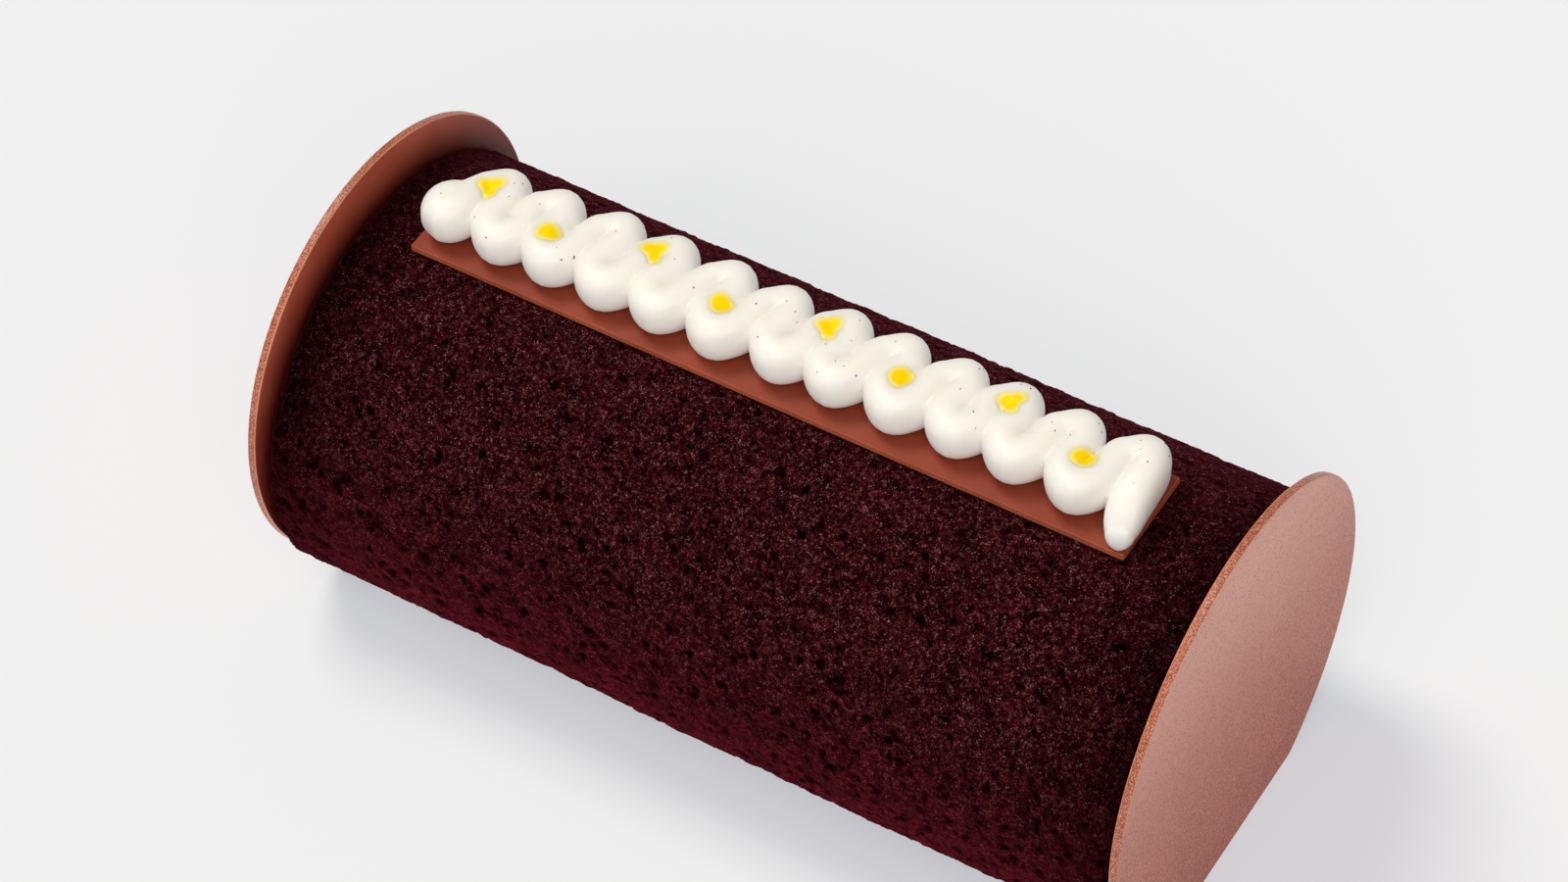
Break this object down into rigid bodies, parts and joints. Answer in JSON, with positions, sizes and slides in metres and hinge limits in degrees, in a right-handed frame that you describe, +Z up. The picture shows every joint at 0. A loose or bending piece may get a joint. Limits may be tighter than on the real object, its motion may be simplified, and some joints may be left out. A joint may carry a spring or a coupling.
{
  "type": "yule log",
  "caption": "Yule log cake: a sponge-wrapped log between two thin round chocolate end discs, with piped cream and gel drops on a chocolate plaque.",
  "frame": {"origin": "on the table, under the middle of the cake's overall box", "axes": "+X along the log towards the disc that the viewer faces, -Y towards the viewer's side, +Z up"},
  "size_m": [0.1854, 0.0898, 0.0849],
  "materials": {
    "sponge": "porous dark burgundy sponge crumb",
    "chocolate_disc": "satin milk chocolate dusted with fine rose-gold powder",
    "chocolate_plaque": "satin milk chocolate",
    "cream": "smooth satin whipped cream",
    "vanilla": "tiny dark vanilla seeds",
    "lemon_gel": "glossy lemon gel"
  },
  "bodies": {
    "root": {"sponge_log": "sponge", "end_disc_left": "chocolate_disc", "end_disc_right": "chocolate_disc", "chocolate_plaque": "chocolate_plaque", "piped_cream": "cream"}
  },
  "joints": []
}
